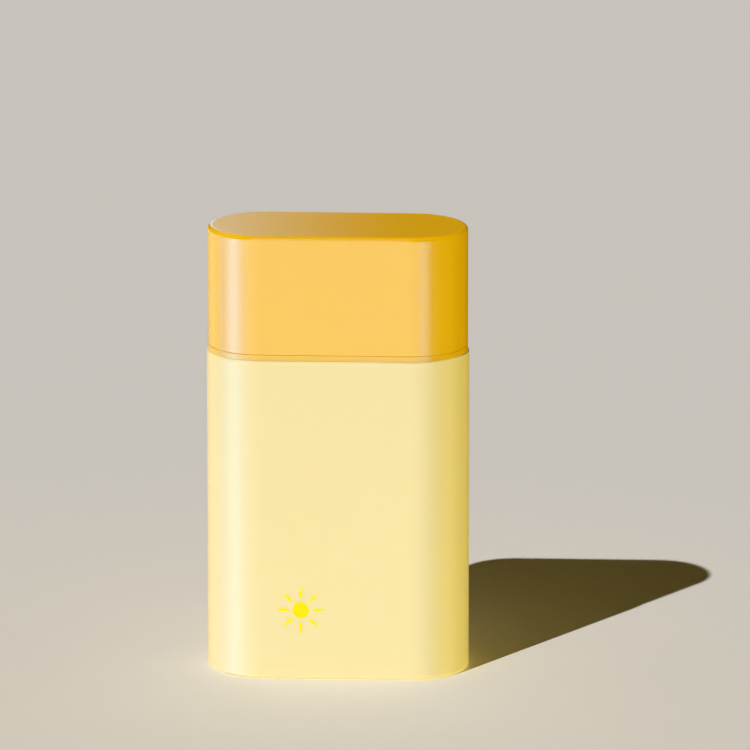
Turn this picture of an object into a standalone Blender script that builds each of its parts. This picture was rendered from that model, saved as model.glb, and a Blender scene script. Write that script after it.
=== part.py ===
"""A squeeze bottle of oblong section with a snap-fit collar, a plug nozzle and a pull-off cap.

Metres, +Z up. The origin is the middle of the base, on the surface that the bottle stands on.
A profile is a list of (reach, height) points: reach is the distance from the centre of an end's half
circle, or from the axis of a turned piece.
"""

import math

import bmesh
import bpy

ASSEMBLY = "squeeze_bottle_with_cap"

# Body of the bottle: flat front and back, ends that are half circles
BODY_WIDTH = 0.0500
BODY_DEPTH = 0.0222
BODY_HEIGHT = 0.0625
BODY_WALL = 0.0010
BASE_WALL = 0.0012
BASE_FILLET = 0.0007
RIM_FILLET = 0.0003
HOLLOW_FILLET = 0.0018
STANDING_RING_WIDTH = 0.0028
PUSH_UP_HEIGHT = 0.0008
PUSH_UP_SLOPE = 0.0012

# Round neck with a snap bead, and the two lugs that stop the collar from turning
NECK_WALL = 0.0012
NECK_HEIGHT = 0.0039
NECK_ROOT_FILLET = 0.0004
NECK_TOP_CHAMFER = 0.0003
NECK_BEAD_RISE = 0.0021
NECK_BEAD_PROUD = 0.0006
NECK_BEAD_HEIGHT = 0.0010
LUG_LENGTH = 0.0020
LUG_WIDTH = 0.0020
LUG_HEIGHT = 0.0010

# Clearances between pieces
SEAT_GAP = 0.0003
COLLAR_SEAT_GAP = 0.0002
CAP_SLIDE_GAP = 0.00035
CUT_OVERRUN = 0.0010

# Collar: a band in line with the cap, a spigot that the cap grips, a sleeve that grips the neck
UPPER_INSET = 0.00025
BAND_HEIGHT = 0.00067
BAND_FILLET = 0.00012
COLLAR_WALL = 0.0011
SPIGOT_FILLET = 0.0009
SPIGOT_BEAD_RISE = 0.0024
SPIGOT_BEAD_HEIGHT = 0.0009
SPIGOT_BEAD_PROUD = 0.0002
SLEEVE_INSET = 0.0007
SLEEVE_WALL = 0.0015
HOOK_LEAD = 0.0008

# Nozzle plug
PLUG_FLANGE = 0.0009
PLUG_SKIRT_LENGTH = 0.0064
PLUG_WALL = 0.0009
PLUG_RING_PROUD = 0.00012
PLUG_RING_HEIGHT = 0.0006
PLUG_RING_COUNT = 2
SPOUT_RADIUS = 0.0039
SPOUT_SHOULDER_RISE = 0.0006
SPOUT_TIP_RADIUS = 0.0024
SPOUT_LENGTH = 0.0093
SPOUT_TIP_FILLET = 0.0006
ORIFICE_RADIUS = 0.0012
ORIFICE_LENGTH = 0.0013

# Cap
CAP_HEIGHT = 0.02293
CAP_WALL = 0.0012
CAP_ROOF = 0.0014
CAP_TOP_FILLET = 0.0009
CAP_RIM_FILLET = 0.0002
CAP_INNER_FILLET = 0.0008
CAP_DRAFT = 0.00015
BOSS_WALL = 0.0010
GUSSET_COUNT = 4
GUSSET_THICKNESS = 0.0008
GUSSET_REACH = 0.0022
GUSSET_DROP = 0.0022

# Seal insert: a hub in the cap's boss, a cup over the spout and a pin in its orifice
HUB_RADIUS = 0.0040
HUB_WALL = 0.0011
HUB_RING_PROUD = 0.00012
HUB_RING_HEIGHT = 0.0006
SEAL_DISC = 0.0013
CUP_WALL = 0.0008
CUP_DEPTH = 0.0026
PIN_RADIUS = 0.00085
PIN_LENGTH = 0.0016
PIN_CHAMFER = 0.0003

# Fineness of the facets
ARC_STEPS = 24
TURN_STEPS = 48
FILLET_STEPS = 4
WELD_DISTANCE = 0.000005
SHARP_ANGLE = math.radians(30)

# Colours (linear), roughness
YELLOW = (0.92, 0.77, 0.33, 1.0)
ORANGE = (0.86, 0.42, 0.02, 1.0)
NATURAL_WHITE = (0.82, 0.81, 0.76, 1.0)


def half_straight():
    """Half the length of the flat stretch: where the centres of the end circles lie."""
    return (BODY_WIDTH - BODY_DEPTH) / 2


def body_reach():
    return BODY_DEPTH / 2


def cap_reach():
    return body_reach() - UPPER_INSET


def cap_inner_reach():
    return cap_reach() - CAP_WALL


def spigot_reach():
    return cap_inner_reach() - CAP_SLIDE_GAP


def sleeve_radius():
    """Outer radius of the collar's sleeve, as wide as the room inside the spigot allows."""
    return spigot_reach() - SLEEVE_INSET


def neck_radius():
    return sleeve_radius() - SLEEVE_WALL - SEAT_GAP - NECK_BEAD_PROUD


def neck_bore():
    return neck_radius() - NECK_WALL


def collar_base():
    return BODY_HEIGHT + COLLAR_SEAT_GAP


def plug_seat():
    """Underside of the plug's flange, on the top of the neck."""
    return BODY_HEIGHT + NECK_HEIGHT + SEAT_GAP


def deck_underside():
    """Underside of the collar's deck, just over the plug's flange."""
    return plug_seat() + PLUG_FLANGE + SEAT_GAP


def cap_rim():
    return collar_base() + BAND_HEIGHT + SEAT_GAP


def cap_ceiling():
    return cap_rim() + CAP_HEIGHT - CAP_ROOF


def spout_tip():
    return deck_underside() + COLLAR_WALL + SPOUT_LENGTH


def cup_ceiling():
    return spout_tip() + SEAT_GAP


def boss_end():
    """Lower end of the cap's boss, just over the seal's disc."""
    return cup_ceiling() + SEAL_DISC + SEAT_GAP


def boss_radius():
    return HUB_RADIUS + SEAT_GAP + BOSS_WALL


def spout_radius_at(height):
    """Outer radius of the spout's taper at a world height below its rounded tip."""
    foot = deck_underside() + COLLAR_WALL + SPOUT_SHOULDER_RISE
    share = (height - foot) / (spout_tip() - foot)
    return SPOUT_RADIUS + share * (SPOUT_TIP_RADIUS - SPOUT_RADIUS)


def clear_scene():
    for obj in list(bpy.data.objects):
        bpy.data.objects.remove(obj, do_unlink=True)


def new_collection(name):
    collection = bpy.data.collections.new(name)
    bpy.context.scene.collection.children.link(collection)
    return collection


def plastic(name, colour, roughness, subsurface=0.0):
    material = bpy.data.materials.new(name)
    material.use_nodes = True
    shader = material.node_tree.nodes["Principled BSDF"]
    shader.inputs["Base Color"].default_value = colour
    shader.inputs["Roughness"].default_value = roughness
    shader.inputs["Metallic"].default_value = 0.0
    shader.inputs["Subsurface Weight"].default_value = subsurface
    return material


def arc(reach, height, radius, start, end):
    """A fillet's points, from one angle to another in degrees, round a centre in the profile plane."""
    points = []
    for step in range(FILLET_STEPS + 1):
        angle = math.radians(start + (end - start) * step / FILLET_STEPS)
        points.append((reach + radius * math.cos(angle), height + radius * math.sin(angle)))
    return points


def bead(reach, height, tall, proud):
    """A low ring on an outer wall, listed from its top to its foot."""
    return [
        (reach, height + tall / 2),
        (reach + proud, height + tall / 6),
        (reach + proud, height - tall / 6),
        (reach, height - tall / 2),
    ]


def extruded(bm, chain, along_x):
    made = bmesh.ops.extrude_edge_only(bm, edges=chain)
    moved = {item for item in made["geom"] if isinstance(item, bmesh.types.BMVert)}
    bmesh.ops.translate(bm, verts=list(moved), vec=(along_x, 0.0, 0.0))
    return [edge for edge in bm.edges if edge.verts[0] in moved and edge.verts[1] in moved]


def turned_half(bm, chain, centre_x):
    corners = {vert for edge in chain for vert in edge.verts}
    made = bmesh.ops.spin(
        bm,
        geom=list(corners) + chain,
        cent=(centre_x, 0.0, 0.0),
        axis=(0.0, 0.0, 1.0),
        angle=math.pi,
        steps=ARC_STEPS,
    )
    return [item for item in made["geom_last"] if isinstance(item, bmesh.types.BMEdge)]


def linked(name, mesh, collection, height):
    obj = bpy.data.objects.new(name, mesh)
    obj.location.z = height
    collection.objects.link(obj)
    return obj


def oblong(name, profile, collection, height):
    """Carries a profile once round the oblong outline and fills its two open ends flat."""
    half = half_straight()
    bm = bmesh.new()
    corners = [bm.verts.new((-half, -reach, rise)) for reach, rise in profile]
    chain = [bm.edges.new(pair) for pair in zip(corners, corners[1:])]
    for side in (1, -1):
        chain = extruded(bm, chain, side * 2 * half)
        chain = turned_half(bm, chain, side * half)
    bmesh.ops.remove_doubles(bm, verts=bm.verts, dist=WELD_DISTANCE)
    bmesh.ops.holes_fill(bm, edges=bm.edges)
    bmesh.ops.recalc_face_normals(bm, faces=bm.faces)
    mesh = bpy.data.meshes.new(name)
    bm.to_mesh(mesh)
    bm.free()
    return linked(name, mesh, collection, height)


def turned(name, profile, collection, height, closed=False):
    """Turns a profile about Z. It runs down its outer side; a closed one is a ring's section."""
    count = len(profile)
    edges = [(index, index + 1) for index in range(count - 1)]
    if closed:
        edges.append((count - 1, 0))
    mesh = bpy.data.meshes.new(name)
    mesh.from_pydata([(reach, 0.0, rise) for reach, rise in profile], edges, [])
    obj = linked(name, mesh, collection, height)
    screw = obj.modifiers.new("Turn", "SCREW")
    screw.axis = "Z"
    screw.steps = TURN_STEPS
    screw.render_steps = TURN_STEPS
    screw.use_merge_vertices = True
    screw.merge_threshold = WELD_DISTANCE
    return obj


def box(name, low, high, collection, height):
    """A block between two corners, its heights counted from the given level."""
    bm = bmesh.new()
    bmesh.ops.create_cube(bm, size=1.0)
    size = [top - bottom for bottom, top in zip(low, high)]
    middle = [(top + bottom) / 2 for bottom, top in zip(low, high)]
    bmesh.ops.scale(bm, vec=size, verts=bm.verts)
    bmesh.ops.translate(bm, vec=middle, verts=bm.verts)
    mesh = bpy.data.meshes.new(name)
    bm.to_mesh(mesh)
    bm.free()
    return linked(name, mesh, collection, height)


def combine(target, helper, operation):
    helper.hide_render = True
    helper.display_type = "WIRE"
    modifier = target.modifiers.new(helper.name, "BOOLEAN")
    modifier.solver = "EXACT"
    modifier.operation = operation
    modifier.object = helper


def settle(obj, material):
    """Makes the modifiers' result the piece's own mesh, shaded smooth with its true edges sharp."""
    bpy.context.view_layer.update()
    graph = bpy.context.evaluated_depsgraph_get()
    mesh = bpy.data.meshes.new_from_object(obj.evaluated_get(graph))
    obj.modifiers.clear()
    obj.data = mesh
    mesh.name = obj.name
    mesh.shade_smooth()
    mesh.set_sharp_from_angle(angle=SHARP_ANGLE)
    mesh.materials.clear()
    mesh.materials.append(material)


def body_profile():
    """From the push-up in the base, over the standing ring and up the wall to the shoulder."""
    reach = body_reach()
    ring_inner = reach - STANDING_RING_WIDTH
    return (
        [(ring_inner - PUSH_UP_SLOPE, PUSH_UP_HEIGHT), (ring_inner, 0.0)]
        + arc(reach - BASE_FILLET, BASE_FILLET, BASE_FILLET, -90, 0)
        + arc(reach - RIM_FILLET, BODY_HEIGHT - RIM_FILLET, RIM_FILLET, 0, 90)
    )


def hollow_profile():
    """The space for the cream: floor over the push-up, ceiling under the shoulder."""
    reach = body_reach() - BODY_WALL
    floor = PUSH_UP_HEIGHT + BASE_WALL
    ceiling = BODY_HEIGHT - BODY_WALL
    return arc(reach - HOLLOW_FILLET, floor + HOLLOW_FILLET, HOLLOW_FILLET, -90, 0) + arc(
        reach - HOLLOW_FILLET, ceiling - HOLLOW_FILLET, HOLLOW_FILLET, 0, 90
    )


def neck_profile():
    """Neck from its top down, with heights counted from the shoulder; its foot is sunk in the wall."""
    radius = neck_radius()
    bead_top = NECK_BEAD_RISE + NECK_BEAD_HEIGHT
    return (
        [
            (0.0, NECK_HEIGHT),
            (radius - NECK_TOP_CHAMFER, NECK_HEIGHT),
            (radius, NECK_HEIGHT - NECK_TOP_CHAMFER),
            (radius, bead_top),
            (radius + NECK_BEAD_PROUD, NECK_BEAD_RISE + NECK_BEAD_HEIGHT / 3),
            (radius + NECK_BEAD_PROUD, NECK_BEAD_RISE),
            (radius, NECK_BEAD_RISE),
        ]
        + arc(radius + NECK_ROOT_FILLET, NECK_ROOT_FILLET, NECK_ROOT_FILLET, 180, 270)
        + [
            (radius + NECK_ROOT_FILLET, -BODY_WALL / 2),
            (0.0, -BODY_WALL / 2),
        ]
    )


def cylinder_profile(radius, low, high):
    return [(0.0, high), (radius, high), (radius, low), (0.0, low)]


def build_bottle(pieces, cutters, material):
    bottle = oblong("squeeze_bottle", body_profile(), pieces, 0.0)
    neck = turned("neck_form", neck_profile(), cutters, BODY_HEIGHT)
    lug_reach = neck_radius() + LUG_LENGTH
    lugs = box(
        "neck_lugs",
        (-lug_reach, -LUG_WIDTH / 2, -BODY_WALL / 2),
        (lug_reach, LUG_WIDTH / 2, LUG_HEIGHT),
        cutters,
        BODY_HEIGHT,
    )
    hollow = oblong("bottle_hollow", hollow_profile(), cutters, 0.0)
    bore_profile = cylinder_profile(neck_bore(), -BODY_WALL - CUT_OVERRUN, NECK_HEIGHT + CUT_OVERRUN)
    bore = turned("neck_bore", bore_profile, cutters, BODY_HEIGHT)
    combine(bottle, neck, "UNION")
    combine(bottle, lugs, "UNION")
    combine(bottle, hollow, "DIFFERENCE")
    combine(bottle, bore, "DIFFERENCE")
    settle(bottle, material)
    return bottle


def collar_profile():
    """An upturned tray: under its deck, down inside, round the band, up the spigot and over the deck."""
    outer = spigot_reach()
    inner = outer - COLLAR_WALL
    underside = deck_underside() - collar_base()
    deck = underside + COLLAR_WALL
    snap = bead(outer, BAND_HEIGHT + SPIGOT_BEAD_RISE, SPIGOT_BEAD_HEIGHT, SPIGOT_BEAD_PROUD)
    return (
        [(inner, underside), (inner, 0.0)]
        + arc(cap_reach() - BAND_FILLET, BAND_FILLET, BAND_FILLET, -90, 0)
        + arc(cap_reach() - BAND_FILLET, BAND_HEIGHT - BAND_FILLET, BAND_FILLET, 0, 90)
        + [(outer, BAND_HEIGHT)]
        + snap[::-1]
        + arc(outer - SPIGOT_FILLET, deck - SPIGOT_FILLET, SPIGOT_FILLET, 0, 90)
    )


def neck_space_profile():
    """The room that the collar's sleeve leaves round the neck, its bead and the plug's flange."""
    gap_radius = neck_radius() + SEAT_GAP
    bead_radius = gap_radius + NECK_BEAD_PROUD
    hook_top = NECK_BEAD_RISE - SEAT_GAP - COLLAR_SEAT_GAP
    ceiling = deck_underside() - collar_base()
    return [
        (0.0, ceiling),
        (bead_radius, ceiling),
        (bead_radius, hook_top),
        (gap_radius, hook_top),
        (gap_radius, HOOK_LEAD),
        (bead_radius, 0.0),
        (bead_radius, -CUT_OVERRUN),
        (0.0, -CUT_OVERRUN),
    ]


def build_collar(pieces, cutters, material):
    base = collar_base()
    deck = deck_underside() - base
    reach = sleeve_radius()
    collar = oblong("shoulder_collar", collar_profile(), pieces, base)
    sleeve_profile = cylinder_profile(reach, 0.0, deck + COLLAR_WALL / 2)
    sleeve = turned("collar_sleeve", sleeve_profile, cutters, base)
    space = turned("neck_space", neck_space_profile(), cutters, base)
    hole_top = deck + COLLAR_WALL + CUT_OVERRUN
    hole_profile = cylinder_profile(SPOUT_RADIUS + SEAT_GAP, deck - CUT_OVERRUN, hole_top)
    hole = turned("spout_hole", hole_profile, cutters, base)
    notches = box(
        "lug_notches",
        (-reach - CUT_OVERRUN, -LUG_WIDTH / 2 - SEAT_GAP, -CUT_OVERRUN),
        (reach + CUT_OVERRUN, LUG_WIDTH / 2 + SEAT_GAP, LUG_HEIGHT - COLLAR_SEAT_GAP + SEAT_GAP),
        cutters,
        base,
    )
    combine(collar, sleeve, "UNION")
    combine(collar, space, "DIFFERENCE")
    combine(collar, hole, "DIFFERENCE")
    combine(collar, notches, "DIFFERENCE")
    settle(collar, material)
    return collar


def plug_profile():
    """The nozzle's section, with heights counted from the underside of its flange."""
    seat = plug_seat()
    deck = deck_underside() + COLLAR_WALL - seat
    tip = spout_tip() - seat
    skirt = neck_bore() - SEAT_GAP
    inner = skirt - PLUG_WALL
    rings = []
    for index in range(PLUG_RING_COUNT):
        height = -PLUG_SKIRT_LENGTH * (index + 1) / (PLUG_RING_COUNT + 1)
        rings += bead(skirt, height, PLUG_RING_HEIGHT, PLUG_RING_PROUD)
    tip_arc = arc(SPOUT_TIP_RADIUS - SPOUT_TIP_FILLET, tip - SPOUT_TIP_FILLET, SPOUT_TIP_FILLET, 90, 0)
    return (
        [(ORIFICE_RADIUS, tip)]
        + tip_arc
        + [
            (SPOUT_RADIUS, deck + SPOUT_SHOULDER_RISE),
            (SPOUT_RADIUS, PLUG_FLANGE),
            (neck_radius(), PLUG_FLANGE),
            (neck_radius(), 0.0),
            (skirt, 0.0),
        ]
        + rings
        + [
            (skirt, PLUG_WALL - PLUG_SKIRT_LENGTH),
            (skirt - PLUG_WALL / 2, -PLUG_SKIRT_LENGTH),
            (inner, -PLUG_SKIRT_LENGTH),
            (inner, 0.0),
            (SPOUT_RADIUS - PLUG_WALL, deck),
            (ORIFICE_RADIUS, tip - ORIFICE_LENGTH),
        ]
    )


def build_nozzle(pieces, material):
    nozzle = turned("nozzle_plug", plug_profile(), pieces, plug_seat(), closed=True)
    settle(nozzle, material)
    return nozzle


def cap_profile():
    """From the ceiling's edge down the inner wall, round the rim and up the outer wall to the flat top."""
    outer = cap_reach()
    inner = cap_inner_reach()
    ceiling = CAP_HEIGHT - CAP_ROOF
    narrow = inner - CAP_DRAFT
    groove_height = BAND_HEIGHT + SPIGOT_BEAD_RISE + collar_base() - cap_rim()
    groove = bead(inner, groove_height, SPIGOT_BEAD_HEIGHT + SEAT_GAP, SPIGOT_BEAD_PROUD)
    return (
        arc(narrow - CAP_INNER_FILLET, ceiling - CAP_INNER_FILLET, CAP_INNER_FILLET, 90, 0)
        + groove
        + [(inner, CAP_RIM_FILLET), (inner + CAP_RIM_FILLET, 0.0)]
        + arc(outer - CAP_RIM_FILLET, CAP_RIM_FILLET, CAP_RIM_FILLET, -90, 0)
        + arc(outer - CAP_TOP_FILLET, CAP_HEIGHT - CAP_TOP_FILLET, CAP_TOP_FILLET, 0, 90)
    )


def boss_profile():
    """The boss under the roof, with heights counted from the ceiling."""
    drop = boss_end() - cap_ceiling()
    inner = HUB_RADIUS + SEAT_GAP
    root = CAP_ROOF / 2
    return [(boss_radius(), root), (boss_radius(), drop), (inner, drop), (inner, root)]


def build_cap(pieces, cutters, carrier, material):
    cap = oblong("outer_cap", cap_profile(), pieces, 0.0)
    cap.parent = carrier
    boss = turned("cap_boss", boss_profile(), cutters, cap_ceiling(), closed=True)
    combine(cap, boss, "UNION")
    for index in range(GUSSET_COUNT):
        gusset = box(
            f"boss_gusset_{index + 1}",
            (boss_radius() - BOSS_WALL / 2, -GUSSET_THICKNESS / 2, -GUSSET_DROP),
            (boss_radius() + GUSSET_REACH, GUSSET_THICKNESS / 2, CAP_ROOF / 2),
            cutters,
            cap_ceiling(),
        )
        gusset.rotation_euler.z = 2 * math.pi * index / GUSSET_COUNT
        combine(cap, gusset, "UNION")
    settle(cap, material)
    return cap


def seal_profile():
    """The insert's section, with heights counted from the ceiling of its cup."""
    ceiling = cup_ceiling()
    hub_top = cap_ceiling() - SEAT_GAP - ceiling
    core = HUB_RADIUS - HUB_WALL
    lip = -CUP_DEPTH
    cup_mouth = spout_radius_at(ceiling + lip) + SEAT_GAP
    cup_root = SPOUT_TIP_RADIUS + SEAT_GAP
    ring = bead(HUB_RADIUS, (hub_top + SEAL_DISC) / 2, HUB_RING_HEIGHT, HUB_RING_PROUD)
    return (
        [(0.0, SEAL_DISC), (core, SEAL_DISC), (core, hub_top), (HUB_RADIUS, hub_top)]
        + ring
        + [
            (HUB_RADIUS, SEAL_DISC),
            (boss_radius(), SEAL_DISC),
            (boss_radius(), 0.0),
            (cup_mouth + CUP_WALL, 0.0),
            (cup_mouth + CUP_WALL, lip),
            (cup_mouth, lip),
            (cup_root, 0.0),
            (PIN_RADIUS, 0.0),
            (PIN_RADIUS, PIN_CHAMFER - PIN_LENGTH),
            (PIN_RADIUS - PIN_CHAMFER, -PIN_LENGTH),
            (0.0, -PIN_LENGTH),
        ]
    )


def build_seal(pieces, carrier, material):
    seal = turned("cap_seal_insert", seal_profile(), pieces, cup_ceiling() - cap_rim())
    seal.parent = carrier
    settle(seal, material)
    return seal


def add_cap_carrier(collection):
    """The empty that the cap's pieces hang on. It stands on the line that the cap is pulled along."""
    carrier = bpy.data.objects.new("cap_pull_axis", None)
    carrier.location.z = cap_rim()
    collection.objects.link(carrier)
    return carrier


def main():
    clear_scene()
    pieces = new_collection(ASSEMBLY)
    cutters = new_collection("cutters")
    carrier = add_cap_carrier(pieces)
    orange = plastic("gloss_orange", ORANGE, 0.25)
    build_bottle(pieces, cutters, plastic("satin_pale_yellow", YELLOW, 0.35, subsurface=0.2))
    build_collar(pieces, cutters, orange)
    build_nozzle(pieces, plastic("natural_white", NATURAL_WHITE, 0.45, subsurface=0.2))
    build_cap(pieces, cutters, carrier, plastic("gloss_orange_cap", ORANGE, 0.25))
    build_seal(pieces, carrier, plastic("white_seal", NATURAL_WHITE, 0.4))


main()
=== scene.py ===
"""Looks of the squeeze bottle with its pull-off cap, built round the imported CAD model.

Metres, +Z up, in the row frame. A profile is a list of (reach, height) points: reach is the distance
from the centre of an end's half circle, or from the axis of a turned piece.
"""

import math

import bmesh
import bpy
from mathutils import Matrix, Vector


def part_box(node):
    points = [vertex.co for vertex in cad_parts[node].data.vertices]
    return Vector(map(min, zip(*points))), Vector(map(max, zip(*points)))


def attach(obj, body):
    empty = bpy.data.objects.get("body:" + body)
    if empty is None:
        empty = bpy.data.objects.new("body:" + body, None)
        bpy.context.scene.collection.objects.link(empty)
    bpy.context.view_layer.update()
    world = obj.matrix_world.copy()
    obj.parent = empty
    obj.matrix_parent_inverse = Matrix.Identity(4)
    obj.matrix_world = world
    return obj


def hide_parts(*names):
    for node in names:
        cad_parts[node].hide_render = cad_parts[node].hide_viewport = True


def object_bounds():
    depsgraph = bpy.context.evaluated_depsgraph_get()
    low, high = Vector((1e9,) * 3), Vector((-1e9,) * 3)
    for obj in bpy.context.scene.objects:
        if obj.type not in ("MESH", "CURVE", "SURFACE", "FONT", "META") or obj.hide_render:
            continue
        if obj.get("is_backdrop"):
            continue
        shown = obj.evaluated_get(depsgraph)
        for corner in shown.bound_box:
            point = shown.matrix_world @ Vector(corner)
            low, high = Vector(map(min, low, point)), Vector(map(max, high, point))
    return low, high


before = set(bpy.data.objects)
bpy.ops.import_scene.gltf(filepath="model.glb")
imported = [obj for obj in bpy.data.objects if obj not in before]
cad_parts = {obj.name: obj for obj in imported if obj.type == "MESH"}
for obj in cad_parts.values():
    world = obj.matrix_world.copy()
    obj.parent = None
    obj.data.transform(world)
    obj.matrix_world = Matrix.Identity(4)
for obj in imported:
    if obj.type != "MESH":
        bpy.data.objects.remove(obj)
cad_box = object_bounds()

# Sizes that the CAD nodes give
BOTTLE_LOW, BOTTLE_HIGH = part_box("squeeze_bottle")
NOZZLE_LOW, NOZZLE_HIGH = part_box("nozzle_plug")
CAP_LOW, CAP_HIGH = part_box("outer_cap")
DECK_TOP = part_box("shoulder_collar")[1][2]
SEAL_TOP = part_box("cap_seal_insert")[1][2]
BODY_REACH = (BOTTLE_HIGH[1] - BOTTLE_LOW[1]) / 2
CAP_REACH = (CAP_HIGH[1] - CAP_LOW[1]) / 2
HALF_STRAIGHT = (BOTTLE_HIGH[0] - BOTTLE_LOW[0]) / 2 - BODY_REACH
NECK_TOP = BOTTLE_HIGH[2]
# No node's box gives the neck's height, so this repeats the CAD's
NECK_HEIGHT = 0.0039
SHOULDER = NECK_TOP - NECK_HEIGHT
CAP_TOP = CAP_HIGH[2]
SPOUT_TIP = NOZZLE_HIGH[2]
SKIRT_END = NOZZLE_LOW[2]

# The seams as they close in the real thing, narrower than the CAD's clearances
BAND_SEAM = 0.00001
CAP_SEAM = 0.00001
CAP_RIM_DROP = 0.00007
COLLAR_BASE = SHOULDER + BAND_SEAM
CAP_RIM = CAP_LOW[2] - CAP_RIM_DROP
BAND_TOP = CAP_RIM - CAP_SEAM

# Bottle
BODY_WALL = 0.0010
BASE_WALL = 0.0012
BASE_FILLET = 0.0007
RIM_FILLET = 0.00024
HOLLOW_FILLET = 0.0018
RING_WIDTH = 0.0028
PUSH_UP = 0.0008
PUSH_UP_SLOPE = 0.0012
PARTING_PROUD = 0.00003
PINCH_LENGTH = 0.0180
PINCH_WIDTH = 0.0005
PINCH_PROUD = 0.0002
NECK_RADIUS = 0.0062
NECK_WALL = 0.0012
NECK_ROOT_FILLET = 0.0004
NECK_TOP_CHAMFER = 0.0003
NECK_BEAD_RISE = 0.0021
NECK_BEAD_PROUD = 0.0006
NECK_BEAD_HEIGHT = 0.0010
NECK_BEAD_EDGE = NECK_BEAD_HEIGHT / 3
LUG_LENGTH = 0.0020
LUG_WIDTH = 0.0020
LUG_HEIGHT = 0.0010

# Clearances
SEAT_GAP = 0.0003
CAP_SLIDE_GAP = 0.00035
CUT_OVERRUN = 0.0010

# Collar
BAND_HEIGHT = BAND_TOP - COLLAR_BASE
BAND_FILLET = 0.00009
BAND_FOOT_FILLET = 0.00002
COLLAR_WALL = 0.0011
SPIGOT_FILLET = 0.0009
SPIGOT_BEAD_RISE = 0.0024
SPIGOT_BEAD_HEIGHT = 0.0009
SPIGOT_BEAD_PROUD = 0.0002
SLEEVE_WALL = 0.0015
HOOK_LEAD = 0.0008

# Nozzle plug
FLANGE = 0.0009
PLUG_WALL = 0.0009
PLUG_RING_PROUD = 0.00012
PLUG_RING_HEIGHT = 0.0006
PLUG_RING_PLACES = (1 / 3, 2 / 3)
SPOUT_RADIUS = 0.0039
SPOUT_SHOULDER_RISE = 0.0006
SPOUT_TIP_RADIUS = 0.0024
SPOUT_TIP_FILLET = 0.0006
ORIFICE_RADIUS = 0.0012
ORIFICE_LENGTH = 0.0013

# Cap
CAP_WALL = 0.0012
CAP_ROOF = 0.0014
CAP_TOP_FILLET = 0.0008
CAP_RIM_FILLET = 0.00012
CAP_INNER_FILLET = 0.0008
CAP_DRAFT = 0.00015
BOSS_WALL = 0.0010
GUSSET_THICKNESS = 0.0008
GUSSET_REACH = 0.0022
GUSSET_DROP = 0.0022

# Seal insert
HUB_RADIUS = 0.0040
HUB_WALL = 0.0011
HUB_RING_PROUD = 0.00012
HUB_RING_HEIGHT = 0.0006
SEAL_DISC = 0.0013
CUP_WALL = 0.0008
CUP_DEPTH = 0.0026
PIN_RADIUS = 0.00085
PIN_LENGTH = 0.0016
PIN_CHAMFER = 0.0003

# Printed sun, low on the front. A ray is widest a little nearer the disc, and its ends are blunt.
SUN_X = -0.0066
SUN_Z = 0.0137
SUN_DISC_RADIUS = 0.0016
SUN_DISC_STEPS = 48
SUN_RAY_COUNT = 8
SUN_RAY_START = 0.0022
SUN_RAY_END = 0.0046
SUN_RAY_HALF_WIDTH = 0.00032
SUN_RAY_STEPS = 12
SUN_RAY_LEAN = 0.8
SUN_RAY_BLUNTNESS = 0.7
INK_THICKNESS = 0.00002

# Fineness
ARC_STEPS = 60
TURN_STEPS = 96
FILLET_STEPS = 8
WELD = 0.000002
SHARP_ANGLE = math.radians(32)
# The columns beside an end's middle one, which carries the parting line, are this many degrees from it
FINE_COLUMN_ANGLE = 0.5

# The two near tints that each finish drifts between
ORANGE = (0.772, 0.440, 0.0), (0.766, 0.435, 0.0)
YELLOW = (0.772, 0.648, 0.310), (0.766, 0.642, 0.307)
WHITE = (0.80, 0.79, 0.74), (0.78, 0.77, 0.72)
INK = (0.93, 0.72, 0.0), (0.92, 0.71, 0.0)

# Noises of the moulded plastics: scale, detail, roughness. A band is the part of a noise's range in use.
DRIFT_NOISE = (55.0, 3.0, 0.5)
DRIFT_BAND = (0.3, 0.7)
PATCH_NOISE = (240.0, 4.0, 0.6)
PATCH_BAND = (0.25, 0.75)
ROUGHNESS_DRIFT = 0.015
SKIN_NOISE = (2600.0, 2.0, 0.5)
SKIN_STRENGTH = 0.25
SKIN_HEIGHT = 0.00001

# Floor and world. Round a spot the floor is painted lighter and warmer, as a pool of bounce light, and fades
# to its far colour between two distances.
FLOOR_PAINTED_GLOW = (0.800, 0.768, 0.708)
FLOOR_FAR = (0.765, 0.745, 0.738)
PAINTED_GLOW_SPOT = (-0.05, -0.12, 0.0)
PAINTED_GLOW_FADE = (0.03, 0.34)
FLOOR_SIZE = 6.0
FLOOR_CELLS = 8
BACKGROUND = (0.578, 0.546, 0.503)
AMBIENT = (0.060, 0.045, 0.011)

# The photograph's camera
TILT = math.radians(14.18)
SWING = math.radians(2.7)
PIXELS_PER_METRE = 5239.0
DISTANCE = 1.8
ASIDE = 0.00705
RAISED = 0.01346
SENSOR = 36.0
PICTURE = 750.0
CLIP_END = 20.0

# Lamps. Bearings count from the front, positive to the right. Bearings and rises are in degrees.
AIM = Vector((0.0, 0.0, 0.043))
LAMP_DISTANCE = 1.0

# The sun: one hard lamp from the front left
KEY_PLACE = (-0.386, -0.570, 0.725)
KEY_STRENGTH = 0.95 * math.pi
KEY_COLOUR = (1.0, 0.99, 0.96)
KEY_ANGLE = math.radians(0.6)

# Soft round lamps that gloss doesn't show: name, bearing, rise, watts, colour
FILL_SIZE = 0.6
FILLS = (
    ("back_fill", 180, 0, 8.5, (1.0, 0.97, 0.90)),
    ("side_fill", -125, -10, 3.0, (0.90, 0.66, 0.38)),
    ("left_fill", -58, -30, 4.8, (0.98, 0.88, 1.0)),
    ("front_fill", 45, -30, 4.5, (0.98, 1.0, 0.97)),
    ("right_fill", 93, -25, 6.8, (1.0, 0.84, 0.08)),
    ("floor_fill", -15, -80, 6.8, (1.0, 1.0, 0.45)),
    ("top_fill", 0, 84, 2.75, (1.0, 0.69, 0.25)),
)

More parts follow.
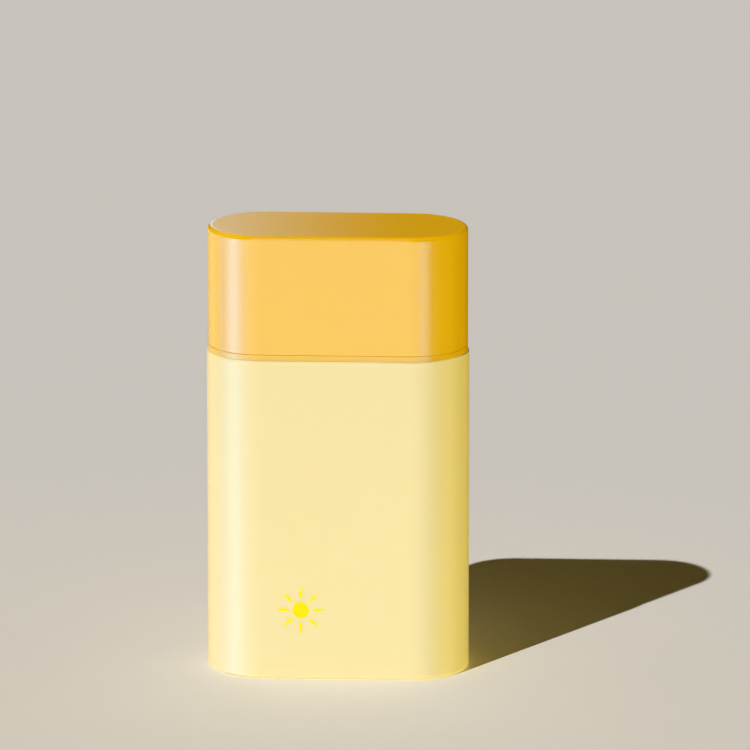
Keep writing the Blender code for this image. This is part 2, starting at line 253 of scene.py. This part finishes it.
# Upright softboxes that only gloss sees: name, bearings of the sides, rises of foot and head, radiance,
# colour. They meet side by side, because gloss sees only one of two that overlap. They end below the
# horizon, so that the flat top doesn't mirror them. Only the fillet box is higher, to light the front of the
# cap's top fillet.
BELOW_HORIZON = (-50, -2)
FILLET_RISES = (-2, 52)
STRIP_COLOUR = (0.10, 0.46, 1.0)
FRONT_COLOUR = (0.52, 0.76, 1.0)
SOFTBOXES = (
    ("left_far_box", (-172, -150), BELOW_HORIZON, 0.6, (1.0, 0.93, 0.68)),
    ("left_back_box", (-150, -132), BELOW_HORIZON, 1.1, (1.0, 0.97, 0.72)),
    ("left_box", (-132, -104), BELOW_HORIZON, 1.7, (0.88, 1.0, 0.76)),
    ("strip_box_104", (-104, -84), BELOW_HORIZON, 3.8, STRIP_COLOUR),
    ("strip_box_84", (-84, -74), BELOW_HORIZON, 6.8, STRIP_COLOUR),
    ("strip_box_74", (-74, -55), BELOW_HORIZON, 11.4, STRIP_COLOUR),
    ("strip_box_55", (-55, -46), BELOW_HORIZON, 8.1, STRIP_COLOUR),
    ("strip_box_46", (-46, -34), BELOW_HORIZON, 5.0, STRIP_COLOUR),
    ("front_left_box", (-34, -22), BELOW_HORIZON, 3.8, (0.45, 0.66, 1.0)),
    ("front_box", (-22, 20), BELOW_HORIZON, 3.05, FRONT_COLOUR),
    ("fillet_box", (-26, -1.7), FILLET_RISES, 3.0, FRONT_COLOUR),
    ("front_edge_box", (20, 32), BELOW_HORIZON, 4.9, (0.22, 0.50, 1.0)),
    ("front_end_box", (32, 41), BELOW_HORIZON, 3.4, (0.20, 0.40, 1.0)),
)

# Small panels close behind the top, in a row along X. They fade to the right, as the top does in the
# photograph, and a brighter one at the left end lights the edge there.
PANEL_BEHIND = 0.10
PANEL_LEVEL = 0.1255
PANEL_HEIGHT = 0.075
PANEL_WIDTH = 0.0044
PANEL_COUNT = 9
PANEL_COLOUR = (0.25, 0.68, 1.0)
PANEL_RADIANCE = 0.78
PANEL_FALL = 1.75
PANELS_START = -0.0295
PANELS_FADE = 0.010
END_PANEL_SIDES = (-0.044, -0.0310)
END_PANEL_RADIANCE = 2.9


def fillet(reach, height, radius, start, end):
    """A fillet's points from one angle to another, in degrees, round a centre in the profile plane."""
    points = []
    for step in range(FILLET_STEPS + 1):
        angle = math.radians(start + (end - start) * step / FILLET_STEPS)
        points.append((reach + radius * math.cos(angle), height + radius * math.sin(angle)))
    return points


def bead(reach, height, tall, proud):
    """A low rounded ring on an outer wall, listed from its top to its foot."""
    points = []
    for step in range(FILLET_STEPS + 1):
        share = step / FILLET_STEPS
        points.append((reach + proud * math.sin(math.pi * share), height + tall * (0.5 - share)))
    return points


def columns():
    """The oblong outline's columns, anticlockwise from the front right.

    Each is its end's centre along X, its direction, and whether it is on a parting line.
    """
    angles = [180.0 * step / ARC_STEPS for step in range(ARC_STEPS + 1)]
    angles += [90.0 - FINE_COLUMN_ANGLE, 90.0 + FINE_COLUMN_ANGLE]
    for side in (1, -1):
        for angle in sorted(angles):
            turn = math.radians(angle)
            yield side * HALF_STRAIGHT, side * math.sin(turn), -side * math.cos(turn), angle == 90.0


def new_object(name, bm):
    """An object in the scene, made of a bmesh with its faces turned outward."""
    bmesh.ops.recalc_face_normals(bm, faces=bm.faces)
    mesh = bpy.data.meshes.new(name)
    bm.to_mesh(mesh)
    bm.free()
    obj = bpy.data.objects.new(name, mesh)
    bpy.context.scene.collection.objects.link(obj)
    return obj


def oblong(name, profile, base, parting=0.0):
    """Carries a profile round the oblong outline and closes both ends flat.

    Its widest points stand proud on the parting lines.
    """
    bm = bmesh.new()
    widest = max(reach for reach, _ in profile)
    rows = []
    for centre, across, along, on_line in columns():
        row = []
        for reach, rise in profile:
            if on_line and reach > widest - WELD:
                reach += parting
            row.append(bm.verts.new((centre + reach * across, reach * along, base + rise)))
        rows.append(row)
    for row, after in zip(rows, rows[1:] + rows[:1]):
        for low in range(len(profile) - 1):
            bm.faces.new((row[low], after[low], after[low + 1], row[low + 1]))
    bm.faces.new([row[0] for row in rows])
    bm.faces.new([row[-1] for row in rows])
    return new_object(name, bm)


def turned(name, profile, base, closed=False):
    """Turns a profile about Z. An open one begins and ends on the axis, a closed one is a ring's section."""
    bm = bmesh.new()
    corners = [bm.verts.new((reach, 0.0, base + rise)) for reach, rise in profile]
    pairs = list(zip(corners, corners[1:] + corners[:1] if closed else corners[1:]))
    edges = [bm.edges.new(pair) for pair in pairs]
    bmesh.ops.spin(
        bm,
        geom=corners + edges,
        cent=(0, 0, 0),
        axis=(0, 0, 1),
        angle=2 * math.pi,
        steps=TURN_STEPS,
        use_merge=True,
    )
    bmesh.ops.remove_doubles(bm, verts=bm.verts, dist=WELD)
    return new_object(name, bm)


def cylinder(name, radius, low, high):
    """A plain cylinder on the axis, to be joined or cut out."""
    return turned(name, [(0.0, high), (radius, high), (radius, low), (0.0, low)], 0.0)


def block(name, low, high):
    """A plain block between two corners, to be joined or cut out."""
    bm = bmesh.new()
    bmesh.ops.create_cube(bm, size=1.0)
    bmesh.ops.scale(bm, vec=Vector(high) - Vector(low), verts=bm.verts)
    bmesh.ops.translate(bm, vec=(Vector(high) + Vector(low)) / 2, verts=bm.verts)
    return new_object(name, bm)


def combine(target, operation, *helpers):
    """Joins helpers to a piece, or cuts them out of it, and deletes them."""
    for helper in helpers:
        modifier = target.modifiers.new(helper.name, "BOOLEAN")
        modifier.solver = "EXACT"
        modifier.operation = operation
        modifier.object = helper
    bpy.context.view_layer.update()
    graph = bpy.context.evaluated_depsgraph_get()
    mesh = bpy.data.meshes.new_from_object(target.evaluated_get(graph))
    target.modifiers.clear()
    target.data = mesh
    mesh.name = target.name
    for helper in helpers:
        bpy.data.objects.remove(helper, do_unlink=True)


def dress(piece, material, body, slot, *nodes):
    """Shading, material and place in the frame of one finished piece."""
    piece.data.shade_smooth()
    piece.data.set_sharp_from_angle(angle=SHARP_ANGLE)
    piece.data.materials.clear()
    piece.data.materials.append(material)
    even = piece.modifiers.new("Even shading", "WEIGHTED_NORMAL")
    even.keep_sharp = True
    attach(piece, body)
    if nodes:
        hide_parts(*nodes)


def make_bottle():
    """The blown body with its push-up, hollow and neck."""
    reach = BODY_REACH
    ring_inner = reach - RING_WIDTH
    outside = (
        [(ring_inner - PUSH_UP_SLOPE, PUSH_UP), (ring_inner - WELD, WELD), (ring_inner, 0.0)]
        + fillet(reach - BASE_FILLET, BASE_FILLET, BASE_FILLET, -90, 0)
        + fillet(reach - RIM_FILLET, SHOULDER - RIM_FILLET, RIM_FILLET, 0, 90)
    )
    bottle = oblong("bottle_moulding", outside, 0.0, PARTING_PROUD)
    inner = reach - BODY_WALL
    floor = PUSH_UP + BASE_WALL
    ceiling = SHOULDER - BODY_WALL
    inside = fillet(inner - HOLLOW_FILLET, floor + HOLLOW_FILLET, HOLLOW_FILLET, -90, 0) + fillet(
        inner - HOLLOW_FILLET, ceiling - HOLLOW_FILLET, HOLLOW_FILLET, 0, 90
    )
    hollow = oblong("hollow", inside, 0.0)
    root = NECK_RADIUS + NECK_ROOT_FILLET
    neck = turned(
        "neck",
        [
            (0.0, NECK_HEIGHT),
            (NECK_RADIUS - NECK_TOP_CHAMFER, NECK_HEIGHT),
            (NECK_RADIUS, NECK_HEIGHT - NECK_TOP_CHAMFER),
            (NECK_RADIUS, NECK_BEAD_RISE + NECK_BEAD_HEIGHT),
            (NECK_RADIUS + NECK_BEAD_PROUD, NECK_BEAD_RISE + NECK_BEAD_EDGE),
            (NECK_RADIUS + NECK_BEAD_PROUD, NECK_BEAD_RISE),
            (NECK_RADIUS, NECK_BEAD_RISE),
        ]
        + fillet(root, NECK_ROOT_FILLET, NECK_ROOT_FILLET, 180, 270)
        + [(root, -BODY_WALL / 2), (0.0, -BODY_WALL / 2)],
        SHOULDER,
    )
    lug_reach = NECK_RADIUS + LUG_LENGTH
    lugs = block(
        "lugs",
        (-lug_reach, -LUG_WIDTH / 2, SHOULDER - BODY_WALL / 2),
        (lug_reach, LUG_WIDTH / 2, SHOULDER + LUG_HEIGHT),
    )
    pinch = block(
        "pinch_line",
        (-PINCH_LENGTH / 2, -PINCH_WIDTH / 2, PUSH_UP - PINCH_PROUD),
        (PINCH_LENGTH / 2, PINCH_WIDTH / 2, PUSH_UP + BASE_WALL / 2),
    )
    bore = cylinder("bore", NECK_RADIUS - NECK_WALL, ceiling - CUT_OVERRUN, NECK_TOP + CUT_OVERRUN)
    combine(bottle, "UNION", neck, lugs, pinch)
    combine(bottle, "DIFFERENCE", hollow, bore)
    return bottle


def make_collar():
    """The band below the cap, with the spigot that holds the cap and the sleeve that hooks on the neck."""
    outer = CAP_REACH - CAP_WALL - CAP_SLIDE_GAP
    inner = outer - COLLAR_WALL
    deck = DECK_TOP - COLLAR_BASE
    underside = deck - COLLAR_WALL
    tray = (
        [(inner, underside), (inner, 0.0)]
        + fillet(CAP_REACH - BAND_FOOT_FILLET, BAND_FOOT_FILLET, BAND_FOOT_FILLET, -90, 0)
        + fillet(CAP_REACH - BAND_FILLET, BAND_HEIGHT - BAND_FILLET, BAND_FILLET, 0, 90)
        + [(outer, BAND_HEIGHT)]
        + bead(outer, BAND_HEIGHT + SPIGOT_BEAD_RISE, SPIGOT_BEAD_HEIGHT, SPIGOT_BEAD_PROUD)[::-1]
        + fillet(outer - SPIGOT_FILLET, deck - SPIGOT_FILLET, SPIGOT_FILLET, 0, 90)
    )
    collar = oblong("collar_moulding", tray, COLLAR_BASE)
    bead_radius = NECK_RADIUS + NECK_BEAD_PROUD + SEAT_GAP
    gap_radius = NECK_RADIUS + SEAT_GAP
    sleeve_radius = bead_radius + SLEEVE_WALL
    hook_top = NECK_BEAD_RISE - SEAT_GAP - BAND_SEAM
    sleeve = cylinder("sleeve", sleeve_radius, COLLAR_BASE, DECK_TOP - COLLAR_WALL / 2)
    space = turned(
        "neck_space",
        [
            (0.0, underside),
            (bead_radius, underside),
            (bead_radius, hook_top),
            (gap_radius, hook_top),
            (gap_radius, HOOK_LEAD),
            (bead_radius, 0.0),
            (bead_radius, -CUT_OVERRUN),
            (0.0, -CUT_OVERRUN),
        ],
        COLLAR_BASE,
    )
    hole_foot = DECK_TOP - COLLAR_WALL - CUT_OVERRUN
    hole = cylinder("spout_hole", SPOUT_RADIUS + SEAT_GAP, hole_foot, DECK_TOP + CUT_OVERRUN)
    notch = LUG_WIDTH / 2 + SEAT_GAP
    notches = block(
        "lug_notches",
        (-sleeve_radius - CUT_OVERRUN, -notch, COLLAR_BASE - CUT_OVERRUN),
        (sleeve_radius + CUT_OVERRUN, notch, SHOULDER + LUG_HEIGHT + SEAT_GAP),
    )
    combine(collar, "UNION", sleeve)
    combine(collar, "DIFFERENCE", space, hole, notches)
    return collar


def make_nozzle():
    """The soft plug in the neck, with its flange and tapered spout."""
    seat = NECK_TOP + SEAT_GAP
    deck = DECK_TOP - seat
    tip = SPOUT_TIP - seat
    end = SKIRT_END - seat
    skirt = NECK_RADIUS - NECK_WALL - SEAT_GAP
    rings = []
    for share in PLUG_RING_PLACES:
        rings += bead(skirt, end * share, PLUG_RING_HEIGHT, PLUG_RING_PROUD)
    section = (
        [(ORIFICE_RADIUS, tip)]
        + fillet(SPOUT_TIP_RADIUS - SPOUT_TIP_FILLET, tip - SPOUT_TIP_FILLET, SPOUT_TIP_FILLET, 90, 0)
        + [
            (SPOUT_RADIUS, deck + SPOUT_SHOULDER_RISE),
            (SPOUT_RADIUS, FLANGE),
            (NECK_RADIUS, FLANGE),
            (NECK_RADIUS, 0.0),
            (skirt, 0.0),
        ]
        + rings
        + [
            (skirt, end + PLUG_WALL),
            (skirt - PLUG_WALL / 2, end),
            (skirt - PLUG_WALL, end),
            (skirt - PLUG_WALL, 0.0),
            (SPOUT_RADIUS - PLUG_WALL, deck),
            (ORIFICE_RADIUS, tip - ORIFICE_LENGTH),
        ]
    )
    return turned("nozzle_moulding", section, seat, closed=True)


def make_cap():
    """The overcap, with its snap groove, boss and gussets."""
    outer = CAP_REACH
    inner = outer - CAP_WALL
    height = CAP_TOP - CAP_RIM
    ceiling = height - CAP_ROOF
    narrow = inner - CAP_DRAFT
    groove_height = COLLAR_BASE + BAND_HEIGHT + SPIGOT_BEAD_RISE - CAP_RIM
    shell = (
        fillet(narrow - CAP_INNER_FILLET, ceiling - CAP_INNER_FILLET, CAP_INNER_FILLET, 90, 0)
        + bead(inner, groove_height, SPIGOT_BEAD_HEIGHT + SEAT_GAP, SPIGOT_BEAD_PROUD)
        + [(inner, CAP_RIM_FILLET), (inner + CAP_RIM_FILLET, 0.0)]
        + fillet(outer - CAP_RIM_FILLET, CAP_RIM_FILLET, CAP_RIM_FILLET, -90, 0)
        + fillet(outer - CAP_TOP_FILLET, height - CAP_TOP_FILLET, CAP_TOP_FILLET, 0, 90)
    )
    cap = oblong("cap_moulding", shell, CAP_RIM)
    boss_inner = HUB_RADIUS + SEAT_GAP
    boss_outer = boss_inner + BOSS_WALL
    drop = SPOUT_TIP + SEAT_GAP + SEAL_DISC + SEAT_GAP - CAP_RIM
    root = ceiling + CAP_ROOF / 2
    section = [(boss_outer, root), (boss_outer, drop), (boss_inner, drop), (boss_inner, root)]
    helpers = [turned("boss", section, CAP_RIM, closed=True)]
    for quarter in range(4):
        gusset = block(
            f"gusset_{quarter}",
            (boss_outer - BOSS_WALL / 2, -GUSSET_THICKNESS / 2, CAP_RIM + ceiling - GUSSET_DROP),
            (boss_outer + GUSSET_REACH, GUSSET_THICKNESS / 2, CAP_RIM + root),
        )
        gusset.rotation_euler.z = quarter * math.pi / 2
        helpers.append(gusset)
    combine(cap, "UNION", *helpers)
    return cap


def make_seal():
    """The insert below the cap's roof, whose cup and pin close the spout."""
    ceiling = SPOUT_TIP + SEAT_GAP
    hub_top = SEAL_TOP - ceiling
    core = HUB_RADIUS - HUB_WALL
    foot = DECK_TOP + SPOUT_SHOULDER_RISE
    share = (ceiling - CUP_DEPTH - foot) / (SPOUT_TIP - foot)
    mouth = SPOUT_RADIUS + share * (SPOUT_TIP_RADIUS - SPOUT_RADIUS) + SEAT_GAP
    disc_radius = HUB_RADIUS + SEAT_GAP + BOSS_WALL
    section = (
        [(0.0, SEAL_DISC), (core, SEAL_DISC), (core, hub_top), (HUB_RADIUS, hub_top)]
        + bead(HUB_RADIUS, (hub_top + SEAL_DISC) / 2, HUB_RING_HEIGHT, HUB_RING_PROUD)
        + [
            (HUB_RADIUS, SEAL_DISC),
            (disc_radius, SEAL_DISC),
            (disc_radius, 0.0),
            (mouth + CUP_WALL, 0.0),
            (mouth + CUP_WALL, -CUP_DEPTH),
            (mouth, -CUP_DEPTH),
            (SPOUT_TIP_RADIUS + SEAT_GAP, 0.0),
            (PIN_RADIUS, 0.0),
            (PIN_RADIUS, PIN_CHAMFER - PIN_LENGTH),
            (PIN_RADIUS - PIN_CHAMFER, -PIN_LENGTH),
            (0.0, -PIN_LENGTH),
        ]
    )
    return turned("seal_moulding", section, ceiling)


def steps_round(count):
    """Even angles of a full turn."""
    return [2 * math.pi * step / count for step in range(count)]


def swung(along, across, turn):
    """A point of the print, turned round the sun's centre."""
    cosine, sine = math.cos(turn), math.sin(turn)
    return along * cosine - across * sine, along * sine + across * cosine


def make_sun_print():
    """A plain printed sun: a disc and even rays, as a thin film of ink on the flat front."""
    bm = bmesh.new()
    outlines = [[swung(SUN_DISC_RADIUS, 0.0, turn) for turn in steps_round(SUN_DISC_STEPS)]]
    for turn in steps_round(SUN_RAY_COUNT):
        ray = []
        for side in (-1, 1):
            for step in range(SUN_RAY_STEPS):
                share = step / SUN_RAY_STEPS if side < 0 else 1 - step / SUN_RAY_STEPS
                along = SUN_RAY_START + share * (SUN_RAY_END - SUN_RAY_START)
                bulge = math.sin(math.pi * share**SUN_RAY_LEAN) ** SUN_RAY_BLUNTNESS
                ray.append(swung(along, side * SUN_RAY_HALF_WIDTH * bulge, turn))
        outlines.append(ray)
    for outline in outlines:
        film = bm.faces.new([bm.verts.new((SUN_X + x, -BODY_REACH, SUN_Z + z)) for x, z in outline])
        made = bmesh.ops.extrude_face_region(bm, geom=[film], use_keep_orig=True)
        moved = [item for item in made["geom"] if isinstance(item, bmesh.types.BMVert)]
        bmesh.ops.translate(bm, verts=moved, vec=(0.0, -INK_THICKNESS, 0.0))
    return new_object("sun_print", bm)


class Nodes:
    """Short calls for a node tree: each adds nodes, links what is a socket and sets what is a value."""

    def __init__(self, tree):
        self.tree = tree

    def add(self, kind, inputs=None, **settings):
        node = self.tree.nodes.new(kind)
        for name, value in settings.items():
            setattr(node, name, value)
        for name, value in (inputs or {}).items():
            self.put(node.inputs[name], value)
        return node

    def put(self, socket, value):
        if isinstance(value, bpy.types.NodeSocket):
            self.tree.links.new(value, socket)
        else:
            socket.default_value = value

    def noise(self, place, scale, detail, roughness):
        inputs = {"Vector": place, "Scale": scale, "Detail": detail, "Roughness": roughness}
        return self.add("ShaderNodeTexNoise", inputs).outputs["Fac"]

    def mix(self, share, first, second):
        """Goes from one colour to another as a share goes from 0 to 1."""
        node = self.add("ShaderNodeMix", data_type="RGBA")
        self.put(node.inputs["Factor"], share)
        self.put(node.inputs["A"], (*first, 1.0))
        self.put(node.inputs["B"], (*second, 1.0))
        return node.outputs["Result"]

    def spread(self, value, low, high, to_low, to_high, smooth=False):
        """Maps a value from one range to another, held at its ends."""
        inputs = {"Value": value, "From Min": low, "From Max": high, "To Min": to_low, "To Max": to_high}
        kind = "SMOOTHSTEP" if smooth else "LINEAR"
        return self.add("ShaderNodeMapRange", inputs, interpolation_type=kind).outputs[0]


def new_material(name):
    """A node material, the short calls for its tree, and its shader."""
    material = bpy.data.materials.new(name)
    material.use_nodes = True
    return material, Nodes(material.node_tree), material.node_tree.nodes["Principled BSDF"]


def moulded_plastic(name, tints, roughness, ior, scatter=0.0, scatter_reach=(0.001, 0.001, 0.001)):
    """Moulded plastic: a slow drift between two near tints, uneven gloss and a faint mould texture."""
    material, nodes, shader = new_material(name)
    place = nodes.add("ShaderNodeTexCoord").outputs["Object"]
    drift = nodes.spread(nodes.noise(place, *DRIFT_NOISE), *DRIFT_BAND, 0.0, 1.0)
    nodes.put(shader.inputs["Base Color"], nodes.mix(drift, *tints))
    patches = nodes.noise(place, *PATCH_NOISE)
    uneven = nodes.spread(patches, *PATCH_BAND, roughness - ROUGHNESS_DRIFT, roughness + ROUGHNESS_DRIFT)
    nodes.put(shader.inputs["Roughness"], uneven)
    skin = nodes.noise(place, *SKIN_NOISE)
    texture = {"Height": skin, "Strength": SKIN_STRENGTH, "Distance": SKIN_HEIGHT}
    nodes.put(shader.inputs["Normal"], nodes.add("ShaderNodeBump", texture).outputs["Normal"])
    shader.inputs["IOR"].default_value = ior
    shader.inputs["Subsurface Weight"].default_value = scatter
    shader.inputs["Subsurface Radius"].default_value = scatter_reach
    shader.inputs["Subsurface Scale"].default_value = 1.0
    return material


def make_floor():
    """A matt pale floor with a painted pool of warm bounce light round a spot. It takes shadows, but neither
    lights the pieces nor shows in their gloss.
    """
    material, nodes, shader = new_material("studio_floor")
    place = nodes.add("ShaderNodeTexCoord").outputs["Object"]
    away = nodes.add("ShaderNodeVectorMath", {0: place, 1: PAINTED_GLOW_SPOT}, operation="DISTANCE")
    share = nodes.spread(away.outputs["Value"], *PAINTED_GLOW_FADE, 0.0, 1.0, smooth=True)
    # Painted glow: the floor's colour is lighter and warmer near the spot, standing in for light bounced off
    # the bottle.
    nodes.put(shader.inputs["Base Color"], nodes.mix(share, FLOOR_PAINTED_GLOW, FLOOR_FAR))
    shader.inputs["Roughness"].default_value = 1.0
    shader.inputs["Specular IOR Level"].default_value = 0.0
    bm = bmesh.new()
    bmesh.ops.create_grid(bm, x_segments=FLOOR_CELLS, y_segments=FLOOR_CELLS, size=FLOOR_SIZE)
    floor = new_object("floor", bm)
    floor.data.materials.append(material)
    floor.visible_glossy = False
    floor.visible_diffuse = False
    floor.visible_shadow = False
    floor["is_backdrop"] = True


def make_camera():
    """The photograph's camera, from its tilt, its swing and the object's place and scale in its picture."""
    middle = (cad_box[0][2] + cad_box[1][2]) / 2
    right = Vector((math.cos(SWING), math.sin(SWING), 0.0))
    up = Vector((-math.sin(SWING) * math.sin(TILT), math.cos(SWING) * math.sin(TILT), math.cos(TILT)))
    back = Vector((math.sin(SWING) * math.cos(TILT), -math.cos(SWING) * math.cos(TILT), math.sin(TILT)))
    camera = bpy.data.objects.new("camera", bpy.data.cameras.new("camera"))
    bpy.context.scene.collection.objects.link(camera)
    place = Vector((0.0, 0.0, middle)) + ASIDE * right + RAISED * up + DISTANCE * back
    camera.matrix_world = Matrix.Translation(place) @ Matrix((right, up, back)).transposed().to_4x4()
    camera.data.sensor_width = SENSOR
    camera.data.lens = PIXELS_PER_METRE * DISTANCE / PICTURE * SENSOR
    camera.data.clip_end = CLIP_END
    return camera


def make_world():
    """A dim warm light all round, with the photograph's grey where the camera sees past the floor."""
    world = bpy.data.worlds.new("studio")
    bpy.context.scene.world = world
    world.use_nodes = True
    world.cycles.sampling_method = "NONE"
    nodes = Nodes(world.node_tree)
    seen = nodes.add("ShaderNodeLightPath").outputs["Is Camera Ray"]
    colour = world.node_tree.nodes["Background"].inputs["Color"]
    nodes.put(colour, nodes.mix(seen, AMBIENT, BACKGROUND))


def lamp(name, kind, spot, aim, energy, colour, **settings):
    """A lamp at a spot, turned to its aim, which neither the camera nor gloss shows."""
    data = bpy.data.lights.new(name, kind)
    data.energy = energy
    data.color = colour
    for key, value in settings.items():
        setattr(data, key, value)
    obj = bpy.data.objects.new(name, data)
    obj.location = spot
    obj.rotation_euler = (Vector(spot) - Vector(aim)).to_track_quat("Z", "Y").to_euler()
    obj.visible_camera = False
    obj.visible_glossy = False
    bpy.context.scene.collection.objects.link(obj)
    return obj


def fill(name, bearing, rise, energy, colour):
    """A round soft lamp that stands off in a direction and lights the pieces, not the floor."""
    turn, lift = math.radians(bearing), math.radians(rise)
    out = Vector((math.sin(turn) * math.cos(lift), -math.cos(turn) * math.cos(lift), math.sin(lift)))
    spot = AIM + LAMP_DISTANCE * out
    disc = lamp(name, "AREA", spot, AIM, energy, colour, shape="DISK", size=FILL_SIZE)
    disc.light_linking.receiver_collection = lit


def gloss_panel(name, spot, out, width, height, radiance, colour):
    """An even upright panel that only the pieces' gloss sees. It faces back along its way out."""
    energy = radiance * math.pi * width * height
    sizes = {"shape": "RECTANGLE", "size": width, "size_y": height}
    panel = lamp(name, "AREA", spot, spot - out, energy, colour, **sizes)
    panel.visible_glossy = True
    panel.visible_diffuse = False
    panel.visible_transmission = False
    panel.light_linking.receiver_collection = lit


def softbox(name, bearings, rises, radiance, colour):
    """A gloss panel that stands off between two bearings and two rises."""
    left, right = bearings
    middle = math.radians((left + right) / 2)
    width = 2 * LAMP_DISTANCE * math.tan(math.radians((right - left) / 2))
    bottom, top = (LAMP_DISTANCE * math.tan(math.radians(rise)) for rise in rises)
    out = Vector((math.sin(middle), -math.cos(middle), 0.0))
    spot = AIM + LAMP_DISTANCE * out + Vector((0.0, 0.0, (bottom + top) / 2))
    gloss_panel(name, spot, out, width, top - bottom, radiance, colour)


def top_box(name, left, right, radiance):
    """A gloss panel close behind the top, between two places along X."""
    spot = Vector(((left + right) / 2, PANEL_BEHIND, PANEL_LEVEL))
    out = Vector((0.0, 1.0, 0.0))
    gloss_panel(name, spot, out, right - left, PANEL_HEIGHT, radiance, PANEL_COLOUR)


orange = moulded_plastic("gloss_orange", ORANGE, roughness=0.20, ior=1.58)
yellow = moulded_plastic(
    "satin_pale_yellow",
    YELLOW,
    roughness=0.30,
    ior=1.40,
    scatter=0.25,
    scatter_reach=(0.0020, 0.0015, 0.0007),
)
white = moulded_plastic(
    "natural_white",
    WHITE,
    roughness=0.42,
    ior=1.50,
    scatter=0.30,
    scatter_reach=(0.0015, 0.0013, 0.0010),
)
ink = moulded_plastic("yellow_ink", INK, roughness=0.50, ior=1.12)

pieces = {
    "bottle": make_bottle(),
    "collar": make_collar(),
    "nozzle": make_nozzle(),
    "cap": make_cap(),
    "seal": make_seal(),
    "sun": make_sun_print(),
}
dress(pieces["bottle"], yellow, "bottle", "bottle_plastic", "squeeze_bottle")
dress(pieces["collar"], orange, "bottle", "collar_plastic", "shoulder_collar")
dress(pieces["nozzle"], white, "bottle", "nozzle_plastic", "nozzle_plug")
dress(pieces["cap"], orange, "cap", "cap_plastic", "outer_cap")
dress(pieces["seal"], white, "cap", "seal_plastic", "cap_seal_insert")
dress(pieces["sun"], ink, "bottle", "bottle_plastic")

make_floor()
bpy.context.scene.camera = make_camera()

lit = bpy.data.collections.new("lit_pieces")
for piece in pieces.values():
    lit.objects.link(piece)
lamp("key", "SUN", KEY_PLACE, (0, 0, 0), KEY_STRENGTH, KEY_COLOUR, angle=KEY_ANGLE)
for row in FILLS:
    fill(*row)
for row in SOFTBOXES:
    softbox(*row)
top_box("top_box_end", *END_PANEL_SIDES, END_PANEL_RADIANCE)
for step in range(PANEL_COUNT):
    left = PANELS_START + step * PANEL_WIDTH
    share = (PANELS_FADE - left - PANEL_WIDTH / 2) / (PANELS_FADE - PANELS_START)
    top_box(f"top_box_{step}", left, left + PANEL_WIDTH, PANEL_RADIANCE * share**PANEL_FALL)
make_world()
bpy.context.scene.view_settings.view_transform = "Standard"

boxes = [[list(corner) for corner in box] for box in (cad_box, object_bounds())]
